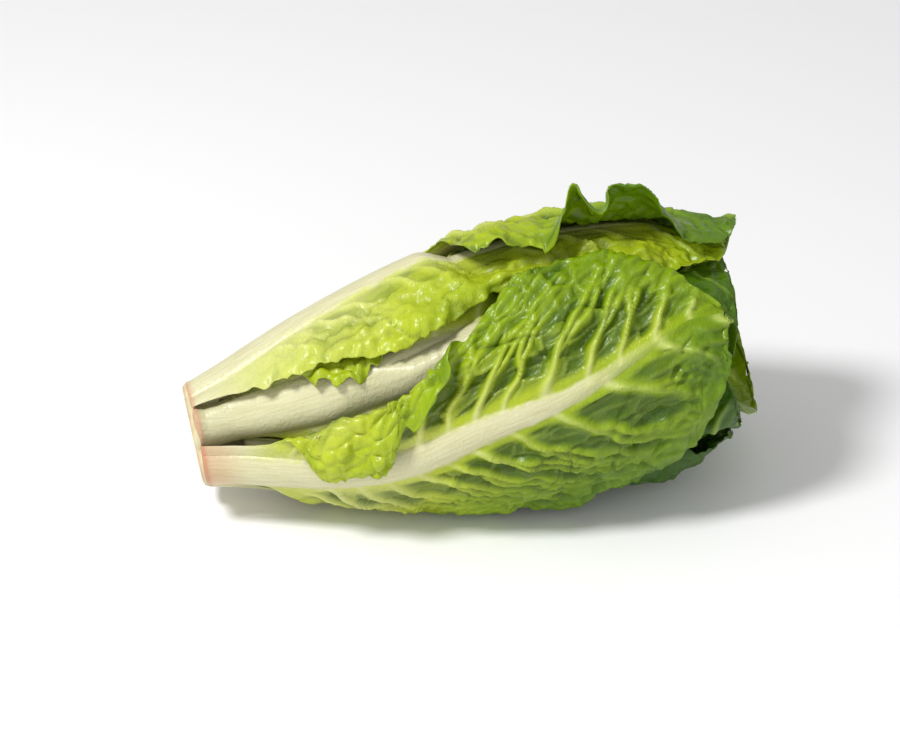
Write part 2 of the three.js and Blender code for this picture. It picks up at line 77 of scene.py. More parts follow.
def add_lamp(name, place, width, power):
    lamp = bpy.data.objects.new(name, bpy.data.lights.new(name, "AREA"))
    lamp.data.shape = "DISK"
    lamp.data.size = width
    lamp.data.energy = power
    lamp.location = place
    lamp.rotation_mode = "QUATERNION"
    lamp.rotation_quaternion = Vector(place).to_track_quat("Z", "Y")
    bpy.context.collection.objects.link(lamp)


add_lamp("key_light", place=(-0.6, -0.3, 1.0), width=0.3, power=11)
add_lamp("fill_light", place=(0.1, -1.1, 0.6), width=0.9, power=2)

world = bpy.data.worlds.new("studio")
world.use_nodes = True
world.node_tree.nodes["Background"].inputs["Color"].default_value = WALL_WHITE
world.node_tree.nodes["Background"].inputs["Strength"].default_value = WALL_LIGHT
bpy.context.scene.world = world

floor_mesh = bmesh.new()
bmesh.ops.create_grid(floor_mesh, x_segments=1, y_segments=1, size=FLOOR_SIDE / 2)
floor = bpy.data.objects.new("floor", bpy.data.meshes.new("floor"))
floor_mesh.to_mesh(floor.data)
floor_mesh.free()
bpy.context.collection.objects.link(floor)
floor_paper = bpy.data.materials.new("floor_paper")
floor_paper.use_nodes = True
floor_paper.node_tree.nodes["Principled BSDF"].inputs["Base Color"].default_value = FLOOR_WHITE
floor_paper.node_tree.nodes["Principled BSDF"].inputs["Roughness"].default_value = FLOOR_ROUGHNESS
floor.data.materials.append(floor_paper)

# Shape of the head. The leaves of a romaine heart are wrapped round a short stem, each inside those before
# it. The axis runs from the cut end (u = 0) to the tips and rises a little. An angle of 0 round it points to
# the front, and one of 90 degrees up. Lengths are in millimetres.
AXIS_RISE = math.radians(9)
AXIS_HEIGHT = 27.8
REST_U = 106
HEAD_RADIUS = [
    (0, 19.5), (15, 24.5), (45, 35.5), (80, 45.5), (110, 51), (140, 52), (165, 49.5), (185, 44), (206, 33),
]
METRES = 0.001


def smooth(low, high, x):
    """Rises softly from 0 at low to 1 at high, or falls when low is the larger."""
    part = np.clip((x - low) / (high - low), 0, 1)
    return part * part * (3 - 2 * part)


def along(points, x):
    """The value at x on a soft curve through the points, level beyond its ends."""
    places, values = np.array(points, float).T
    slopes = np.empty(len(places))
    slopes[1:-1] = (values[2:] - values[:-2]) / (places[2:] - places[:-2])
    slopes[0] = (values[1] - values[0]) / (places[1] - places[0])
    slopes[-1] = (values[-1] - values[-2]) / (places[-1] - places[-2])
    x = np.clip(x, places[0], places[-1])
    i = np.clip(np.searchsorted(places, x, side="right") - 1, 0, len(places) - 2)
    step = places[i + 1] - places[i]
    t = (x - places[i]) / step
    s = 1 - t
    ends = values[i] * s * s * (1 + 2 * t) + values[i + 1] * t * t * (3 - 2 * t)
    return ends + (slopes[i] * s - slopes[i + 1] * t) * step * t * s


def head_radius(u, angle):
    """Distance from the axis to the head's outside, which is flat where it lies on the table."""
    down = np.maximum(-np.sin(angle), 1e-6)
    table = (AXIS_HEIGHT + u * math.sin(AXIS_RISE)) / math.cos(AXIS_RISE) / down
    return np.minimum(along(HEAD_RADIUS, u), table)


def head_point(u, angle, radius):
    """A place in the head as x, y and z."""
    up = radius * np.sin(angle)
    x = (u - REST_U) * math.cos(AXIS_RISE) - up * math.sin(AXIS_RISE)
    z = AXIS_HEIGHT + u * math.sin(AXIS_RISE) + up * math.cos(AXIS_RISE)
    return np.stack([x, -radius * np.cos(angle), z], axis=-1)


# One leaf: a thick pale midrib, broad at the base and thin towards the tip, with a crinkled blade on both
# sides. The outer leaves are large and green, the inner ones small, tight and pale. Each grows about 137.5
# degrees round the stem from the one before. Angles are in degrees here, and a table's pairs begin with u.
GOLDEN_ANGLE = 137.5
FIRST_ANGLE = -10
LEAF_COUNT = 13
BIG_LEAVES = 8
BLADE = 0.9
FINE_BLADE = 0.6
LOOSE = 1.1
INNER_LOOSE = 2.3
FOLD_ROUND = 1.9
RUFFLE = 0.8
RUFFLE_LENGTH = 3.4
RUFFLE_SLANT = 5
RUFFLE_FROM = 8
RIB_DEPTH = [(0, 3.6), (0.07, 5.6), (0.3, 4.6), (0.55, 2.6), (0.8, 1), (0.93, 0.1)]
RIB_HALF = [(0, 8.4), (0.1, 8.6), (0.35, 7.2), (0.6, 4.6), (0.85, 1.9), (1, 1.2)]
TIP_POWER = 2.3
TIP_REACH = 0.86
LEAST_WING = 1.8
LOBES = 0.06
LOBE_LENGTH = 3.9
RIB_ROUND = 0.8
RIB_RELIEF = 0.55
RELIEF_FADE = 14
CRINKLE_LEAST = 0.25
CRINKLE_GROWTH = 2.4
CRINKLED = (35, 95)
OFF_RIB = (0.6, 2.6)
BASE_STEEPNESS = 3


def stepwise(points, x):
    """Level at each point's value, with a soft step from one to the next."""
    value = points[0][1]
    for (before, low), (after, high) in zip(points, points[1:]):
        value = value + (high - low) * smooth(before, after, x)
    return value


class Leaf:
    def __init__(self, number, **own):
        inner = (number - 1) / (LEAF_COUNT - 1)
        small = number - BIG_LEAVES
        big = small <= 0
        self.number = number
        self.name = f"leaf_{number:02d}"
        # Where its midrib leaves the stem, and how the midrib bends round the head from there
        self.angle = FIRST_ANGLE + GOLDEN_ANGLE * (number - 1)
        self.bend = [(0, 0), (190, 9 * (1 - 2 * (number % 2)))]
        # Its two ends, and the half widths of its wings ahead of the midrib, going round, and behind it
        self.start = 3.4 + 0.5 * number if big else 8 + 5.5 * small
        self.tip = 199 - 5 * small
        self.over = self.under = 45 - 2.2 * small
        # How near to the outside it lies, how much room its crinkles have, how loosely the next one lies on
        # it, how thick its midrib is, and where the blade beside the midrib grows wide
        self.share = 1 - 0.62 * inner
        self.slack = 1 - 0.75 * inner
        self.loose = INNER_LOOSE if small >= 0 else LOOSE * (1 - 0.75 * inner)
        self.rib_scale = 1 if big else 1 - 0.09 * small
        self.wing = (22, 62) if big else (34 + 4 * small, 86)
        # The wing with an outline of its own, the line that it bends back at, how far, and how tightly
        self.shaped = 1
        self.edge = self.crest = self.turn = None
        self.round = FOLD_ROUND
        # Places where the margin behind the midrib stands up: where, how high and over what length
        self.lifts = []
        self.phase = 2.4 * number
        self.grid = (150, 90) if big else (90, 50)
        # From pale (0) to green (1), where the white base ends, where the green sets in, how finely crinkled
        # it is, and how rusty its stalk has grown above the cut
        self.green = 0.72 - 0.5 * inner
        self.bleached = (12, 32)
        self.greening = (20, 150)
        self.crisp = 0.3
        self.bruised = 0
        self.__dict__.update(own)

    def part(self, u):
        return np.clip((u - self.start) / (self.tip - self.start), 0, 1)

    def midrib_angle(self, u):
        return np.radians(self.angle + along(self.bend, u))

    def layer_radius(self, u):
        return along(HEAD_RADIUS, u) * self.share

    def rib_half(self, u):
        return along(RIB_HALF, self.part(u)) * self.rib_scale

    def rib_depth(self, u):
        return along(RIB_DEPTH, self.part(u)) * self.rib_scale

    def half_width(self, side, u):
        narrow = self.rib_half(u) + LEAST_WING * self.share * self.rib_scale
        full = np.where(side > 0, self.over, self.under)
        wing = smooth(*self.wing, u) * (1 + LOBES * np.sin(u / LOBE_LENGTH + self.phase + side))
        wide = narrow + (full - narrow) * wing
        if self.edge:
            wide = np.where((side == self.shaped) & (u <= self.edge[-1][0]), along(self.edge, u), wide)
        reach = TIP_REACH * full
        tip = np.clip((u - self.tip + reach) / reach, 0, 1)
        return wide * (1 - tip**TIP_POWER) ** (1 / TIP_POWER)

    def folded_turn(self, u):
        return np.radians(stepwise(self.turn, u))

    def outside(self, side, y, u):
        """How far a place on the head lies outside this leaf's outline."""
        reach = TIP_REACH * np.where(side > 0, self.over, self.under)
        tip = (u - self.tip + reach) / reach
        wide = self.half_width(side, np.minimum(u, self.tip - reach))
        if self.edge:
            wide = np.where(side == self.shaped, along(self.edge, u), wide)
        if self.crest:
            folded = (side == self.shaped) & (self.folded_turn(u) > 1)
            wide = np.where(folded, np.minimum(wide, along(self.crest, u) + self.round), wide)
        round_tip = (y / wide) ** TIP_POWER + np.maximum(tip, 0) ** TIP_POWER
        beyond = np.where(tip > 0, (round_tip ** (1 / TIP_POWER) - 1) * wide, y - wide)
        return np.maximum(beyond, (self.start - u) * BASE_STEEPNESS)

    def rib_shape(self, y, u):
        across = np.minimum(np.abs(y) / self.rib_half(u), 1)
        return (1 - across * across) ** RIB_ROUND

    def sink(self, y, u):
        """Depth of the blade beside the midrib below the midrib's crest."""
        relief = RIB_RELIEF * self.rib_depth(u)
        away = np.maximum(np.abs(y) - self.rib_half(u), 0)
        return relief * (1 - self.rib_shape(y, u)) * np.exp(-away / RELIEF_FADE)

    def thickness(self, y, u, blade=BLADE):
        return blade + self.rib_depth(u) * self.rib_shape(y, u)

    def crinkle_room(self, y, u):
        """Room that the crinkles need under the smooth surface, none of it on the midrib."""
        away = smooth(*OFF_RIB, np.abs(y) / self.rib_half(u))
        return self.slack * (CRINKLE_LEAST + CRINKLE_GROWTH * smooth(*CRINKLED, u)) * away

    def bent(self, u, sheet):
        """Where a wing that bends outwards at its crest lies: how far from the midrib, and how high."""
        crest = along(self.crest, u)
        past = np.maximum(sheet - crest, 0)
        turn = self.folded_turn(u)
        bend = np.minimum(past / self.round, turn)
        straight = past - bend * self.round
        hangs = smooth(0, RUFFLE_FROM, straight) * smooth(2, math.pi, turn)
        ruffle = RUFFLE * (1 + np.sin(u / RUFFLE_LENGTH + sheet / RUFFLE_SLANT)) * hangs
        reach = np.minimum(sheet, crest) + self.round * np.sin(bend) + straight * np.cos(turn)
        return reach, self.round * (1 - np.cos(bend)) + straight * np.sin(turn) + ruffle


leaves = [
    Leaf(
        1,
        bend=[(0, -6), (43, -6), (68, 1), (99, 16), (130, 24), (153, 33), (177, 44)],
        tip=190,
        over=49,
        under=56,
        edge=[
            (0, 12.5), (12, 13), (20, 13.5), (26, 15), (31, 19), (37, 29), (44, 42), (54, 46), (66, 49),
            (73, 40), (80, 44), (87, 42), (93, 37.5), (99, 34), (105, 37), (118, 47), (140, 48), (150, 44),
            (161, 35), (175, 24.5), (184, 15), (190, 12),
        ],
        crest=[
            (20, 12.5), (24, 13), (31, 15.5), (43, 19.5), (49, 21), (68, 24), (82, 27), (96, 31), (106, 36),
        ],
        turn=[(23, 0), (36, 180), (86, 180), (103, 0)],
        wing=(20, 62),
        grid=(270, 170),
        green=0.47,
        bleached=(14, 34),
        bruised=0.5,
    ),
    Leaf(
        2,
        bend=[(0, 40), (60, 28), (100, 7), (130, 2), (190, 0)],
        tip=206,
        over=46,
        under=46,
        shaped=-1,
        edge=[
            (0, 10), (60, 9), (88, 8.5), (98, 11), (105, 32), (110, 41), (121, 42), (134, 43), (143, 47),
            (151, 52), (156, 48), (163, 51), (171, 50), (180, 44), (206, 44),
        ],
        crest=[(100, 34), (130, 30), (151, 29), (168, 28), (190, 26)],
        turn=[(134, 0), (150, 75), (156, 50), (163, 75), (171, 70), (185, 0)],
        round=4.5,
        wing=(40, 90),
        lifts=[(118, 3, 14)],
        grid=(260, 140),
        green=0.56,
        greening=(120, 175),
    ),
    Leaf(3, bend=[(0, 0), (92, 5), (190, 6)], tip=190, over=42, under=48, grid=(200, 110), green=0.9),
    Leaf(
        4,
        angle=108,
        bend=[(0, 0), (100, 0), (190, -8)],
        tip=199,
        over=42,
        under=30,
        shaped=-1,
        edge=[
            (0, 12), (13, 15.5), (25, 21.5), (37, 26.5), (59, 33.5), (73, 39), (94, 38.5), (105, 34.5),
            (122, 29.5), (140, 26), (199, 26),
        ],
        lifts=[(56, 3.5, 18)],
        wing=(18, 60),
        grid=(240, 130),
        green=0.26,
        bleached=(4, 40),
        crisp=1,
    ),
    Leaf(5, tip=201, over=37, under=48, green=0.9),
    Leaf(6, bend=[(0, 0), (190, 8)], tip=190, over=33, under=48, green=0.85),
    Leaf(
        7,
        angle=42.5,
        bend=[(0, 0), (38, -5), (76, -2), (99, 4), (167, 18), (186, 25)],
        tip=197,
        over=46,
        under=46,
        edge=[
            (0, 12.5), (22, 12), (30, 13), (38, 17), (48, 24), (60, 25.5), (70, 24), (83, 19), (93, 34),
            (108, 46),
        ],
        crest=[(0, 11), (30, 10.5), (45, 10.5), (68, 11), (75, 13.5), (83, 18), (92, 26)],
        turn=[(26, 0), (40, 180), (70, 180), (85, 0)],
        wing=(24, 70),
        grid=(260, 140),
        green=0.62,
        greening=(50, 170),
        bleached=(12, 26),
        crisp=0.6,
    ),
    Leaf(8, tip=202, over=45, under=45),
    Leaf(9, angle=100),
    Leaf(10, angle=322),
    Leaf(11, angle=180),
    Leaf(12, angle=54, under=34),
    Leaf(13, angle=275, over=20, under=20),
]

# How the leaves lie: a chart of the radius that is left inside the head, with rows along the axis and columns
# round it. Each leaf lies against the chart that the leaves outside it have left, and takes its own thickness
# from it.
CHART_STEP = 1.5
CHART_ROWS = 142
CHART_COLUMNS = 240
STEEPEST = 0.45
SNUG = 1.1
FILLING = (20, 90)
MARGIN_REACH = (1.5, 5)
COVER_REACH = 10
chart_arc = 2 * math.pi / CHART_COLUMNS
chart_u = np.arange(CHART_ROWS)[:, None] * CHART_STEP
chart_angle = np.arange(CHART_COLUMNS)[None, :] * chart_arc


def look_up(chart, u, angle):
    """The chart's value at any place, on a smooth surface through its neighbours."""
    row = np.clip(u / CHART_STEP, 0, CHART_ROWS - 1)
    column = np.mod(angle, 2 * math.pi) / chart_arc
    i, k = np.floor(row).astype(int), np.floor(column).astype(int)

    def shares(f):
        rising = (-3 * f**3 + 3 * f**2 + 3 * f + 1) / 6
        return (1 - f) ** 3 / 6, (3 * f**3 - 6 * f**2 + 4) / 6, rising, f**3 / 6

    total = 0
    for a, by_row in enumerate(shares(row - i)):
        line = np.clip(i + a - 1, 0, CHART_ROWS - 1)
        for b, by_column in enumerate(shares(column - k)):
            total = total + by_row * by_column * chart[line, (k + b - 1) % CHART_COLUMNS]
    return total


def ease_steps(space):
    """Keeps the room from rising more steeply than a leaf can."""
    grow = 1 + STEEPEST * chart_arc
    there = [k % CHART_COLUMNS for k in range(2 * CHART_COLUMNS)]
    for order in (there, there[::-1]):
        for before, here in zip(order, order[1:]):
            space[:, here] = np.minimum(space[:, here], space[:, before] * grow)
    for order in (range(CHART_ROWS), range(CHART_ROWS - 1, -1, -1)):
        for before, here in zip(order, order[1:]):
            space[here] = np.minimum(space[here], space[before] + STEEPEST * CHART_STEP)


def place_on(leaf, u, angle):
    """Distance of a place on the head from a leaf's midrib, and how far outside the leaf it lies."""
    turn = np.mod(angle - leaf.midrib_angle(u) + math.pi, 2 * math.pi) - math.pi
    side = np.where(turn < 0, -1, 1)
    y = np.abs(turn) * leaf.layer_radius(u)
    return y, leaf.outside(side, y, u)


space = head_radius(chart_u, chart_angle)
cover = np.zeros_like(space)
for leaf in leaves:
    leaf.space, leaf.cover = space, cover
    y, beyond = place_on(leaf, chart_u, chart_angle)
    rise = np.gradient(space, CHART_STEP, axis=0)
    round_rise = (np.roll(space, -1, axis=1) - np.roll(space, 1, axis=1)) / (2 * chart_arc * space)
    steepness = np.sqrt(1 + rise**2 + round_rise**2)
    body = leaf.sink(y, chart_u) + leaf.thickness(y, chart_u) + leaf.crinkle_room(y, chart_u)
    gap = SNUG + leaf.loose * smooth(*FILLING, chart_u)
    space = space - (1 - smooth(*MARGIN_REACH, beyond)) * (body * steepness + gap)
    ease_steps(space)
    cover = np.maximum(cover, 1 - smooth(0, COVER_REACH, beyond))
room_left = space

# Relief of a blade. Side veins leave the midrib, fork and bow towards the tip, with hollows and cross veins
# between them and small blisters nearer to the margin. Slopes, bows and shares are for the wing ahead of the
# midrib and the one behind it. A swell is given as its height, its length, its width and its seed.
VEIN_SPACING = 4.2
VEIN_SPREAD = 0.058
VEIN_SLOPES = (0.42, 0.95)
VEIN_BOWS = (0.015, 0.008)
VEIN_SHARES = (0.84, 0.68)
VEIN_WAVER = 0.5
VEINED = (24, 50)
WEAKEST_VEIN = 0.35
VEIN_HALF = 0.55
VEIN_ROOT_HALF = 1.25
VEIN_ROOT = 12
FORK_APART = 0.4
FORK_HALF = 0.6
FORK_SHOWS = (6, 14)
FORKING = (5, 20)
LATER_FORK = 8
WOBBLE = [(3.2, 17, 14, 0), (1.1, 6, 6, 6)]
CRUMPLE = [(1.2, 14, 12, 4), (0.9, 7, 6, 5)]
FINE_CRUMPLE = [(0.5, 3.3, 3.1, 7)]
CRISP = [(1, 2.9, 5.5, 15), (0.5, 1.7, 2.5, 16)]
RUNGS_TO_A_VEIN = 1.15
RUNG_WIDTH = 5.5
RUNG_HALF = 0.12
HOLLOW_DEPTH = 1.9
BLISTER_LENGTH = 6
BLISTER_WIDTH = 5.2
BLISTER_RIM = 0.36
CREASE_DEPTH = 0.8
CREASE_HALF = 0.13
FREE_RELIEF = 1.15


def dice(i, j, seed):
    """A random number from 0 to 1 for each cell, the same each time."""
    mask = 0xFFFFFFFF
    drawn = (i.astype(np.int64) * 374761393 + j.astype(np.int64) * 668265263 + seed * 1442695041) & mask
    drawn = ((drawn ^ (drawn >> 13)) * 1274126177) & mask
    return ((drawn ^ (drawn >> 16)) & 0xFFFF) / 0xFFFF


def swell(x, y, seed):
    """Soft random swells from -1 to 1, one unit apart."""
    i, j = np.floor(x), np.floor(y)
    f, g = smooth(0, 1, x - i), smooth(0, 1, y - j)
    low = dice(i, j, seed) * (1 - f) + dice(i + 1, j, seed) * f
    high = dice(i, j + 1, seed) * (1 - f) + dice(i + 1, j + 1, seed) * f
    return 2 * (low * (1 - g) + high * g) - 1


def swells(sizes, u, y, seed):
    """Several sizes of swells, one on another."""
    return sum(height * swell(u / long, y / wide, seed + own) for height, long, wide, own in sizes)


def blisters(x, y, seed):
    """Uneven cells one unit apart: how far a place is from its cell's border, and the cell's own number."""
    i, j = np.floor(x), np.floor(y)

    def middle(a, b):
        return a + 0.15 + 0.7 * dice(a, b, seed), b + 0.15 + 0.7 * dice(a, b, seed + 7)

    nearest = np.full(x.shape, 9.0)
    own = [np.zeros(x.shape), np.zeros(x.shape), i, j]
    for a in (-1, 0, 1):
        for b in (-1, 0, 1):
            cx, cy = middle(i + a, j + b)
            away = (cx - x) ** 2 + (cy - y) ** 2
            closer = away < nearest
            nearest = np.where(closer, away, nearest)
            own = [np.where(closer, new, old) for new, old in zip((cx, cy, i + a, j + b), own)]
    border = np.full(x.shape, 9.0)
    for a in (-2, -1, 0, 1, 2):
        for b in (-2, -1, 0, 1, 2):
            if a == b == 0:
                continue
            cx, cy = middle(own[2] + a, own[3] + b)
            dx, dy = cx - own[0], cy - own[1]
            half_way = ((cx + own[0]) / 2 - x) * dx + ((cy + own[1]) / 2 - y) * dy
            border = np.minimum(border, half_way / np.sqrt(dx * dx + dy * dy))
    return border, dice(own[2], own[3], seed + 13)


def side_veins(leaf, u, side, edge, past, wobble):
    """The ridges of the nearest vein and its fork, its strength, the open blade beside it, and its number."""
    seed = leaf.number * 31
    slope, bow, fewer = (np.where(side > 0, *pair) for pair in (VEIN_SLOPES, VEIN_BOWS, VEIN_SHARES))
    leaves_rib_at = np.maximum(u - slope * past - bow * past**2 + wobble * smooth(0, 12, past), 2)
    spacing = VEIN_SPACING + VEIN_SPREAD * leaves_rib_at
    count = fewer * np.log(spacing) / VEIN_SPREAD
    count = count + VEIN_WAVER * swell(count / 1.8, side * 9.0, seed + 8)
    number = np.round(count)
    aslant = spacing / fewer / np.sqrt(1 + (slope + 2 * bow * past) ** 2)
    drawn, reach = dice(number, side, seed), dice(number, side, seed + 9)
    strength = WEAKEST_VEIN + (1 - WEAKEST_VEIN) * drawn
    apart = smooth(*FORKING, past - LATER_FORK * reach)
    fork = np.where(drawn > 0.5, FORK_APART, -FORK_APART) * apart
    away = np.abs(count - number) * aslant
    fork_away = np.abs(count - number - fork) * aslant
    forked = smooth(*FORK_SHOWS, past)
    shows = (1 - smooth(0.38 + 0.3 * reach, 0.62 + 0.3 * reach, edge)) * smooth(*VEINED, u)
    half = strength * (VEIN_HALF + VEIN_ROOT_HALF * np.exp(-past / VEIN_ROOT))
    ridge = np.exp(-((away / half) ** 2)) * shows
    branch = np.exp(-((fork_away / FORK_HALF) ** 2)) * shows * forked
    nearest = np.minimum(away, fork_away + 6 * (1 - forked))
    between = 1 - np.exp(-((nearest / (0.2 * aslant)) ** 2))
    return ridge, branch, strength, between, count


def relief(leaf, u, share, sheet, flap, free):
    """Height of the blade's detail, how much of it is vein, and the painted shade in its hollows, pits and
    creases.
    """
    side = np.where(share < 0, -1, 1)
    edge = np.abs(share)
    y = side * sheet
    past = np.maximum(sheet - leaf.rib_half(u), 0)
    seed = leaf.number * 31
    wobble = swells(WOBBLE, u, y, seed)
    ridge, branch, strength, between, count = side_veins(leaf, u, side, edge, past, wobble)
    veins = (0.75 + 1.1 * np.exp(-past / 16)) * strength * ridge + 0.5 * branch
    tip_zone = smooth(0.8, 0.93, leaf.part(u))

    near = smooth(0.5, 5, past) * (1 - 0.75 * smooth(0.4, 0.8, edge)) * smooth(*VEINED, u)
    near = near * (1 - 0.75 * leaf.crisp**2)
    rung_along = count * RUNGS_TO_A_VEIN + 0.2 * wobble
    rung, depth_of = blisters(rung_along, past / RUNG_WIDTH + wobble / 5, seed + 1)
    rungs = np.exp(-((rung / RUNG_HALF) ** 2)) * between * near
    hollow = HOLLOW_DEPTH * near * between * (0.35 + 1.2 * depth_of) * (1 - 0.8 * flap) * (1 - 0.7 * tip_zone)

    blister_along = u / BLISTER_LENGTH + 0.25 * wobble
    blister_across = y / BLISTER_WIDTH + 0.25 * swell(u / 5, y / 5, seed + 3)
    blister_border, size = blisters(blister_along, blister_across, seed + 2)
    puff = smooth(0, BLISTER_RIM - 0.08 * flap, blister_border) * (0.2 + size)
    outer_zone = smooth(0.3, 0.65, np.maximum(edge, tip_zone)) * smooth(28, 60, u)
    puff = puff * np.maximum(outer_zone, flap)

    crumple = swells(CRUMPLE, u, y, seed) + swells(FINE_CRUMPLE, u, y, seed) * smooth(3, 12, past)
    crisp = leaf.crisp * smooth(0.25, 0.7, edge) * swells(CRISP, u, y, seed)
    fold_line = swell(u / 10 + 0.3 * wobble, y / 8, seed + 21)
    creased = smooth(6, 16, past) * smooth(0.25, 0.5, dice(np.round(u / 9), side, seed))
    crease = np.exp(-((fold_line / CREASE_HALF) ** 2)) * creased

    free_room = FREE_RELIEF * free * smooth(leaf.wing[0] - 10, leaf.wing[0] + 25, u) * smooth(0, 6, past)
    room = np.maximum(0.5 * leaf.crinkle_room(sheet, u), free_room)
    height = veins * (1 - flap) - hollow + 0.7 * rungs + 0.75 * crumple + crisp - CREASE_DEPTH * crease
    height = room * (height - (0.9 + 0.6 * flap) * puff + 0.9 * free)
    pale = ridge * (0.06 + 0.9 * np.exp(-past / 9)) * (0.4 + 0.6 * strength) + 0.12 * branch + 0.12 * rungs
    # Painted shade: how strongly the hollows between the veins, the blisters and the creases are painted dark
    # green.
    painted_shade = 0.7 * hollow * room + 0.15 * puff * (1 - flap) + 0.35 * crease * room
    return height, np.clip(pale, 0, 1) * (1 - 0.8 * flap), np.clip(painted_shade, 0, 1)


# The leaves' skin: cream-white ribs with fine streaks, and blades from pale yellow-green near the base to
# full green at the margins, with a waxy shine. The net of the finest veins is raised in it, and a dark green
# is painted into the hollows, blisters and creases as painted shade. Lists of colours begin each pair with
# the share of full green, and the stalk's with the strength of its streaks.
def paint(red, green, blue):
    """A colour for a shader from its screen values."""
    return tuple((value / 255) ** 2.2 for value in (red, green, blue)) + (1,)


BLADE_COLOURS = [
    (0.0, paint(220, 220, 168)),
    (0.2, paint(206, 210, 118)),
    (0.4, paint(176, 190, 44)),
    (0.6, paint(138, 164, 10)),
    (0.82, paint(98, 132, 4)),
    (1.0, paint(56, 88, 4)),
]
VEIN_COLOURS = [(0.2, paint(224, 226, 160)), (0.5, paint(200, 211, 114)), (1.0, paint(150, 178, 68))]
STALK_COLOURS = [(0.3, paint(196, 190, 146)), (0.55, paint(208, 204, 164)), (0.8, paint(216, 213, 180))]
# Painted shade: the dark green that the hollows, blisters and creases are painted with.
PAINTED_SHADE_GREEN = paint(44, 80, 4)
NET_GREEN = paint(76, 108, 10)
CUT_RUST = paint(196, 142, 112)


def add_node(tree, kind, settings=None, **inputs):
    made = tree.nodes.new(kind)
    for name, value in (settings or {}).items():
        setattr(made, name, value)
    for name, value in inputs.items():
        socket = made.inputs[int(name[1:])] if name[1:].isdigit() else made.inputs[name.replace("_", " ")]
        if isinstance(value, bpy.types.NodeSocket):
            tree.links.new(value, socket)
        else:
            socket.default_value = value
    return made


def add_ramp(tree, factor, stops):
    ramp = add_node(tree, "ShaderNodeValToRGB", Fac=factor)
    spare = ramp.color_ramp.elements
    while len(spare) < len(stops):
        spare.new(0.5)
    for stop, (place, colour) in zip(spare, stops):
        stop.position = place
        stop.color = colour
    return ramp.outputs["Color"]


def mix_colours(tree, factor, first, second):
    return add_node(tree, "ShaderNodeMix", {"data_type": "RGBA"}, i0=factor, i6=first, i7=second).outputs[2]


def leaf_skin(name, roughness, bleed):
    skin = bpy.data.materials.new(name)
    skin.use_nodes = True
    tree = skin.node_tree
    shader = tree.nodes["Principled BSDF"]

    def attribute(which):
        return add_node(tree, "ShaderNodeAttribute", {"attribute_name": which}).outputs["Fac"]

    def calculate(operation, first, second):
        settings = {"operation": operation, "use_clamp": True}
        return add_node(tree, "ShaderNodeMath", settings, i0=first, i1=second).outputs[0]

    sheet = add_node(tree, "ShaderNodeUVMap", {"uv_map": "sheet"}).outputs["UV"]
    mottle = add_node(tree, "ShaderNodeTexNoise", Vector=sheet, Scale=9.0, Detail=5.0, Roughness=0.6)
    mottle = mottle.outputs["Fac"]
    net = add_node(
        tree, "ShaderNodeTexVoronoi", {"feature": "DISTANCE_TO_EDGE"}, Vector=sheet, Scale=42.0
    ).outputs["Distance"]
    net_line = add_node(tree, "ShaderNodeMapRange", Value=net, From_Max=0.12, To_Min=1.0, To_Max=0.0)
    net_line = net_line.outputs["Result"]
    drawn_out = add_node(tree, "ShaderNodeMapping", Vector=sheet, Scale=(7.0, 130.0, 1.0)).outputs["Vector"]
    streaks = add_node(tree, "ShaderNodeTexNoise", Vector=drawn_out, Scale=1.0, Detail=4.0).outputs["Fac"]

    age = calculate("ADD", attribute("green"), calculate("MULTIPLY", mottle, 0.16))
    blade = add_ramp(tree, age, BLADE_COLOURS)
    # Painted shade: the blade's colour turns to dark green in its hollows, blisters and creases.
    shaded = mix_colours(tree, calculate("MULTIPLY", attribute("painted_shade"), 0.8), blade, PAINTED_SHADE_GREEN)
    netted = mix_colours(tree, calculate("MULTIPLY", net_line, 0.07), shaded, NET_GREEN)
    veined = mix_colours(tree, attribute("vein"), netted, add_ramp(tree, age, VEIN_COLOURS))
    ribbed = mix_colours(tree, attribute("rib"), veined, add_ramp(tree, streaks, STALK_COLOURS))
    whole = mix_colours(tree, attribute("rust"), ribbed, CUT_RUST)
    tree.links.new(whole, shader.inputs["Base Color"])

    fine = add_node(tree, "ShaderNodeTexNoise", Vector=sheet, Scale=60.0, Detail=4.0).outputs["Fac"]
    grain = calculate("ADD", calculate("MULTIPLY", fine, 0.5), calculate("MULTIPLY", net_line, 0.35))
    bump = add_node(tree, "ShaderNodeBump", Strength=0.5, Distance=0.0004, Height=grain)
    tree.links.new(bump.outputs["Normal"], shader.inputs["Normal"])
    least, most = roughness - 0.08, roughness + 0.12
    gloss = add_node(tree, "ShaderNodeMapRange", Value=mottle, To_Min=least, To_Max=most).outputs["Result"]
    tree.links.new(gloss, shader.inputs["Roughness"])
    shader.inputs["Subsurface Weight"].default_value = bleed
    shader.inputs["Subsurface Radius"].default_value = (0.8, 1.0, 0.25)
    shader.inputs["Subsurface Scale"].default_value = 0.0025
    shader.inputs["Specular IOR Level"].default_value = 0.3
    shader.inputs["Coat Weight"].default_value = 0.12
    shader.inputs["Coat Roughness"].default_value = 0.2
    return skin


outer_skin = leaf_skin("outer_leaf_skin", roughness=0.34, bleed=0.12)
inner_skin = leaf_skin("inner_leaf_skin", roughness=0.45, bleed=0.2)


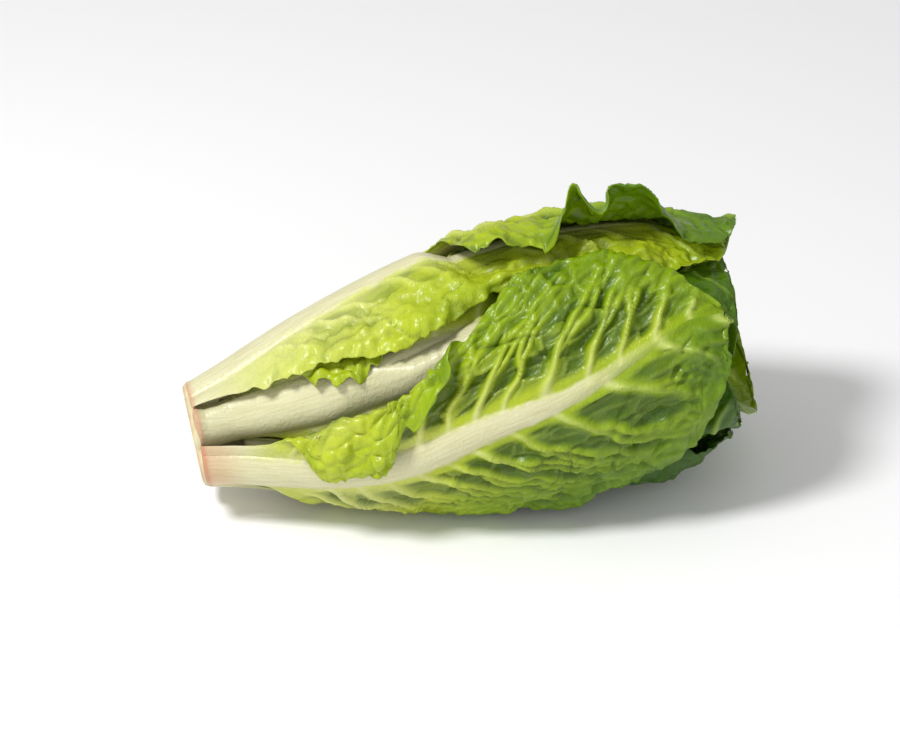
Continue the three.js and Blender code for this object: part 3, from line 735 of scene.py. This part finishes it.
# Leaves. Each is laid out flat with a toothed margin and wrapped round the head in its place. Its margins
# wave and stand out where no other leaf and no table holds them, its veins and blisters are raised, and it
# gets its thickness, which is most along the midrib and least at the margin.
BEFORE_START = 1.2
STALK_END = 2.2
TIP_ROWS = 0.3
TIP_TURN = math.radians(84)
RAGGED_TIP = 26
COARSE_TEETH, COARSE_TOOTH = 0.9, 4.2
FINE_TEETH, FINE_TOOTH = 0.6, 1.9
FLAP_TEETH = 0.9
FLATTENED = 0.9
CLEAR = 7
FLARE = 1.6
FLARING = (40, 90)
WAVE_LENGTH = 5.2
CALM_TIP = 16
CALM_LEAST = 0.4
CRINKLE_DEPTH = 0.4
MARGIN_THINNING = 0.45
SOLIDIFIED = 0.01
CUT_RUSTED = 0.8
GREEN_AT_BASE = 0.3
GREENER_MARGIN = 0.22
GREENER_BELOW = 0.08
UV_PER_MM = 0.01
UV_APART = 300


def leaf_rows(leaf):
    """Places along the axis for the rows of a leaf's mesh, closer together round its tip."""
    reach = TIP_REACH * min(leaf.over, leaf.under)
    step = np.linspace(0, 1, leaf.grid[0])
    first = leaf.start - BEFORE_START
    if leaf.number <= BIG_LEAVES:
        first = min(first, STALK_END)
    straight = first + (leaf.tip - reach - first) * step / (1 - TIP_ROWS)
    turn = TIP_TURN * np.clip((step - 1 + TIP_ROWS) / TIP_ROWS, 0, 1)
    return np.where(step < 1 - TIP_ROWS, straight, leaf.tip - reach + reach * np.sin(turn))


def lay_out(leaf):
    """The flat leaf: places along the axis, shares across from -1 to 1, and distances from the midrib."""
    share = np.linspace(-1, 1, leaf.grid[1])[:, None] + np.zeros(leaf.grid[0])
    u = leaf_rows(leaf) + 0 * share
    side = np.where(share < 0, -1, 1)
    seed = leaf.number * 17
    ragged = 1.2 * swell(share * 4, u * 0, seed + 2) + 0.3 * swell(share * 17, u * 0, seed + 3)
    u = u + smooth(leaf.tip - RAGGED_TIP, leaf.tip, u) * ragged
    wide = leaf.half_width(side, u)
    teeth = COARSE_TEETH * swell(u / COARSE_TOOTH, side * 3.0, seed)
    teeth = teeth + FINE_TEETH * swell(u / FINE_TOOTH, side * 5.0, seed + 1)
    if leaf.crest:
        teeth = teeth * (1 + FLAP_TEETH * smooth(1, 2.5, leaf.folded_turn(u)) * (side == leaf.shaped))
    wing = smooth(leaf.wing[0] - 6, leaf.wing[0] + 14, u) * smooth(0, 14, wide - leaf.rib_half(u))
    return u, share, np.abs(share) * (wide + teeth * wing * share**4)


def wrap_round(leaf, u, share, sheet):
    """The middle of the leaf's thickness in the head, and where it is a folded flap, held flat and free."""
    side = np.where(share < 0, -1, 1)
    edge = np.abs(share)
    y, height, under, flap = sheet, 0 * sheet, sheet, 0 * sheet
    if leaf.crest:
        bends = side == leaf.shaped
        reached, raised = leaf.bent(u, sheet)
        y, height = np.where(bends, reached, sheet), np.where(bends, raised, 0)
        under = np.where(bends, np.minimum(sheet, along(leaf.crest, u)), y)
        flap = smooth(1, 4, sheet - along(leaf.crest, u)) * smooth(1, 2.5, leaf.folded_turn(u)) * bends
    angle = leaf.midrib_angle(u) + side * y / leaf.layer_radius(u)
    outer = look_up(leaf.space, u, angle)
    uncovered = 1 - look_up(leaf.cover, u, angle)
    held = uncovered * smooth(0, FLATTENED, along(HEAD_RADIUS, u) - head_radius(u, angle))
    free = uncovered * smooth(0, CLEAR, head_point(u, angle, outer)[..., 2])
    lift = sum(high * np.exp(-(((u - at) / long) ** 2)) for at, high, long in leaf.lifts)
    lift = free * lift * smooth(0.3, 1, edge) * (side < 0)
    calm = CALM_LEAST + (1 - CALM_LEAST) * smooth(0, CALM_TIP, leaf.tip - u)
    wave = 1 + np.sin(u / WAVE_LENGTH + leaf.phase) * smooth(0.55, 1, edge)
    flare = FLARE * free * calm * smooth(*FLARING, u) * wave * smooth(0.5, 1, edge)
    depth = (leaf.sink(under, u) + CRINKLE_DEPTH * calm * leaf.crinkle_room(under, u) - flare) * (1 - held)
    radius = outer - depth - leaf.thickness(sheet, u) / 2 + height + lift
    return head_point(u, angle, radius), flap, held, free


def outward(points):
    """The direction out of a surface at each point, and at its rim that of the point one step further in."""
    columns, rows = points.shape[:2]
    faces = np.cross(np.gradient(points, axis=1), np.gradient(points, axis=0))
    faces /= np.maximum(np.linalg.norm(faces, axis=-1, keepdims=True), 1e-9)
    inner_rows = np.clip(np.arange(rows), 1, rows - 2)
    inner_columns = np.clip(np.arange(columns), 1, columns - 2)
    return faces[inner_columns][:, inner_rows]


def skin_values(leaf, u, share, sheet, flap, pale, painted_shade):
    """What the skin's colours go by: how much of each place is rib, green, vein, painted shade in hollows,
    and rust.
    """
    edge = np.abs(share)
    seed = leaf.number * 17
    rib_edge = sheet / leaf.rib_half(u) + 0.12 * swell(u / 2.2, sheet / 1.1, seed + 4)
    rib = 1 - smooth(0.75, 1.15 + 0.25 * smooth(60, 20, u), rib_edge)
    base = 1 - smooth(*leaf.bleached, u + 8 * (1 - edge))
    root = 0.8 * pale**2 * np.exp(-np.maximum(sheet - leaf.rib_half(u), 0) / 8) * smooth(0, 40, 175 - u)
    rib = np.maximum(np.maximum(rib, base) * (1 - smooth(0.6, 0.92, leaf.part(u))), root)
    green = leaf.green * (GREEN_AT_BASE + (1 - GREEN_AT_BASE) * smooth(*leaf.greening, u))
    green = green + 0.07 * swell(u / 30, sheet / 20, seed + 5)
    green = green + GREENER_MARGIN * (np.maximum(edge, smooth(0.82, 0.95, leaf.part(u))) - 0.35)
    green = green + GREENER_BELOW * ((share < 0) * smooth(40, 100, u) + flap)
    rust = CUT_RUSTED * (1 - smooth(2, 5, u)) + leaf.bruised * (1 - smooth(4, 20, u))
    return {"rib": rib, "green": np.clip(green, 0, 1), "vein": pale, "painted_shade": painted_shade, "rust": rust}


def leaf_mesh(leaf):
    rows, columns = leaf.grid
    u, share, sheet = lay_out(leaf)
    middle, flap, held, free = wrap_round(leaf, u, share, sheet)
    raised, pale, painted_shade = relief(leaf, u, share, sheet, flap, np.maximum(free, flap))
    middle = middle + outward(middle) * (raised * (1 - 0.8 * held))[..., None]
    thin = 1 - MARGIN_THINNING * smooth(0.9, 1, np.abs(share))
    half = outward(middle) * (leaf.thickness(sheet, u, FINE_BLADE) * thin)[..., None] / 2
    faces = [middle + half, middle - half]
    for face in faces:
        face[..., 2] = np.maximum(face[..., 2], 0)

    sheet_mesh = bmesh.new()
    bmesh.ops.create_grid(sheet_mesh, x_segments=rows - 1, y_segments=columns - 1)
    spot = sheet_mesh.verts.layers.int.new("spot")
    for number, vertex in enumerate(sheet_mesh.verts):
        vertex[spot] = number
    bmesh.ops.solidify(sheet_mesh, geom=sheet_mesh.faces[:], thickness=SOLIDIFIED)
    mesh = bpy.data.meshes.new(leaf.name + "_blade")
    sheet_mesh.to_mesh(mesh)
    sheet_mesh.free()

    spots = np.empty(len(mesh.vertices), int)
    mesh.attributes["spot"].data.foreach_get("value", spots)
    copies = np.arange(len(mesh.vertices)) >= rows * columns
    places = np.where(copies[:, None], faces[1].reshape(-1, 3)[spots], faces[0].reshape(-1, 3)[spots])
    mesh.vertices.foreach_set("co", (places * METRES).ravel())
    mesh.attributes.remove(mesh.attributes["spot"])

    for name, values in skin_values(leaf, u, share, sheet, flap, pale, painted_shade).items():
        layer = mesh.attributes.new(name, "FLOAT", "POINT")
        layer.data.foreach_set("value", values.reshape(-1)[spots].astype(np.float32))
    corners = np.empty(len(mesh.loops), int)
    mesh.loops.foreach_get("vertex_index", corners)
    across = np.where(share < 0, -sheet, sheet)
    flat = np.stack([u + UV_APART * leaf.number, across], axis=-1).reshape(-1, 2) * UV_PER_MM
    mesh.uv_layers.new(name="sheet").data.foreach_set("uv", flat[spots[corners]].ravel().astype(np.float32))
    mesh.polygons.foreach_set("use_smooth", np.ones(len(mesh.polygons), bool))
    mesh.update()
    return mesh


for leaf in leaves:
    blade = bpy.data.objects.new(leaf.name + "_blade", leaf_mesh(leaf))
    bpy.context.collection.objects.link(blade)
    blade.data.materials.append(outer_skin if leaf.number <= BIG_LEAVES else inner_skin)
    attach(blade, "root")
    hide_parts(leaf.name)

# Stem core: the short pale stem that the leaves grow on, cut across with a knife. Its cut end has the outline
# of the stalks round it. Its face has dried to a pinkish brown, with the stalks' arcs and the ends of their
# strands in it. Inside the head it tapers to the growing tip.
BUTT_LENGTH = 2.8
BUTT_LEAST = 15.5
BUTT_BEVEL = 0.6
STALKS_AT = 6
RIM_SOFTNESS = 1.5
CUT_AT = 0.3
CUT_UNEVENNESS = 0.25
SHOULDER = 1.4
CORE_LENGTH = 52
CORE_LEAST = 1.5
CORE_TAPER = [(0, 19.2), (4, 16), (14, 12), (30, 7), (52, 2.5)]
CORE_AROUND = 240
CORE_RINGS = 84
FACE_END = 0.55
SIDE_END = 0.66
ARC_WIDTH = 3.4
FLESH_WHITE = paint(208, 204, 164)
DRIED_COLOURS = [(0.3, paint(140, 88, 58)), (0.5, paint(178, 124, 90)), (0.7, paint(206, 162, 126))]
ARC_PALE = paint(204, 164, 126)
STRAND_BROWN = paint(140, 84, 52)


def butt_radius(u, angle):
    """Radius of the cut end, which is as far out as the stalk that grows there."""
    there = np.full(np.shape(angle), float(STALKS_AT))
    radius = np.full(np.shape(angle), BUTT_LEAST)
    narrower = along(HEAD_RADIUS, STALKS_AT) - along(HEAD_RADIUS, u)
    for leaf in leaves[:BIG_LEAVES]:
        y, beyond = place_on(leaf, there, angle)
        stalk = look_up(leaf.space, there, angle) - leaf.sink(y, STALKS_AT) - narrower
        radius = np.where(y < leaf.rib_half(STALKS_AT), np.maximum(radius, stalk), radius)
    return radius


def core_surface(t, angle):
    """Place along the stem and radius, with t from 0 in the middle of the cut face to 1 at the stem's tip."""
    turns = np.radians(RIM_SOFTNESS * np.arange(-3, 4))
    rim = sum(butt_radius(0 * angle + BUTT_LENGTH / 2, angle + turn) for turn in turns) / len(turns)
    on_face, on_side = t / FACE_END, (t - FACE_END) / (SIDE_END - FACE_END)
    inside = (t - SIDE_END) / (1 - SIDE_END)
    cut = CUT_AT + CUT_UNEVENNESS * swell(on_face * 9, angle * 3, 5) * (1 - smooth(0.8, 1, on_face))
    side_u = CUT_AT + (BUTT_LENGTH - CUT_AT) * on_side
    inside_u = BUTT_LENGTH + SHOULDER * smooth(0, 0.06, inside)
    inside_u = inside_u + (CORE_LENGTH - BUTT_LENGTH - SHOULDER) * inside
    u = np.where(t < FACE_END, cut, np.where(t < SIDE_END, side_u, inside_u))
    side_radius = rim - BUTT_BEVEL * (1 - smooth(0, 0.5, on_side))
    taper = np.clip(look_up(room_left, u, angle), CORE_LEAST, along(CORE_TAPER, u))
    taper = taper * np.sqrt(np.clip(1 - inside**6, 0, 1))
    face_radius = on_face * (rim - BUTT_BEVEL)
    return u, np.where(t < FACE_END, face_radius, np.where(t < SIDE_END, side_radius, taper))


core_mesh = bmesh.new()
bmesh.ops.create_uvsphere(core_mesh, u_segments=CORE_AROUND, v_segments=CORE_RINGS, radius=1)
ball = np.array([vertex.co for vertex in core_mesh.verts])
core_t = np.arccos(np.clip(ball[:, 2], -1, 1)) / math.pi
core_angle = np.arctan2(ball[:, 1], ball[:, 0])
core_u, core_radius = core_surface(core_t, core_angle)
for vertex, place in zip(core_mesh.verts, head_point(core_u, core_angle, core_radius) * METRES):
    vertex.co = place
bmesh.ops.recalc_face_normals(core_mesh, faces=core_mesh.faces[:])
for face in core_mesh.faces:
    face.smooth = True
stem = bpy.data.objects.new("stem_core_cut", bpy.data.meshes.new("stem_core_cut"))
core_mesh.to_mesh(stem.data)
core_mesh.free()
bpy.context.collection.objects.link(stem)

uneven = 0.6 + 0.4 * swell(core_angle * 4, core_u / 2, 9) * (core_t > FACE_END)
dried = (1 - smooth(CUT_AT, 2, core_u)) * uneven
arc_count = core_radius / ARC_WIDTH + 0.8 * np.sin(core_angle * 1.5 + core_radius / 5)
arcs = np.abs(np.mod(arc_count, 1) - 0.5) * 2
for name, values in {"dried": dried, "arcs": arcs}.items():
    layer = stem.data.attributes.new(name, "FLOAT", "POINT")
    layer.data.foreach_set("value", np.asarray(values, np.float32))
flesh = bpy.data.materials.new("stem_flesh")
flesh.use_nodes = True
flesh_tree = flesh.node_tree
flesh_shader = flesh_tree.nodes["Principled BSDF"]
place = add_node(flesh_tree, "ShaderNodeTexCoord").outputs["Object"]
patches = add_node(flesh_tree, "ShaderNodeTexNoise", Vector=place, Scale=260.0, Detail=5.0).outputs["Fac"]
strand_dots = add_node(flesh_tree, "ShaderNodeTexVoronoi", Vector=place, Scale=420.0).outputs["Distance"]
ringed = add_node(flesh_tree, "ShaderNodeAttribute", {"attribute_name": "arcs"}).outputs["Fac"]
browned = add_node(flesh_tree, "ShaderNodeAttribute", {"attribute_name": "dried"}).outputs["Fac"]
dot = add_node(flesh_tree, "ShaderNodeMapRange", Value=strand_dots, From_Max=0.25, To_Min=0.5, To_Max=0.0)
brown = mix_colours(flesh_tree, ringed, add_ramp(flesh_tree, patches, DRIED_COLOURS), ARC_PALE)
brown = mix_colours(flesh_tree, dot.outputs["Result"], brown, STRAND_BROWN)
skin_colour = mix_colours(flesh_tree, browned, FLESH_WHITE, brown)
flesh_tree.links.new(skin_colour, flesh_shader.inputs["Base Color"])
flesh_bump = add_node(flesh_tree, "ShaderNodeBump", Strength=0.5, Distance=0.0005, Height=patches)
flesh_tree.links.new(flesh_bump.outputs["Normal"], flesh_shader.inputs["Normal"])
flesh_shader.inputs["Roughness"].default_value = 0.6
flesh_shader.inputs["Subsurface Weight"].default_value = 0.15
flesh_shader.inputs["Subsurface Scale"].default_value = 0.002
stem.data.materials.append(flesh)
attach(stem, "root")
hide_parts("stem_core")
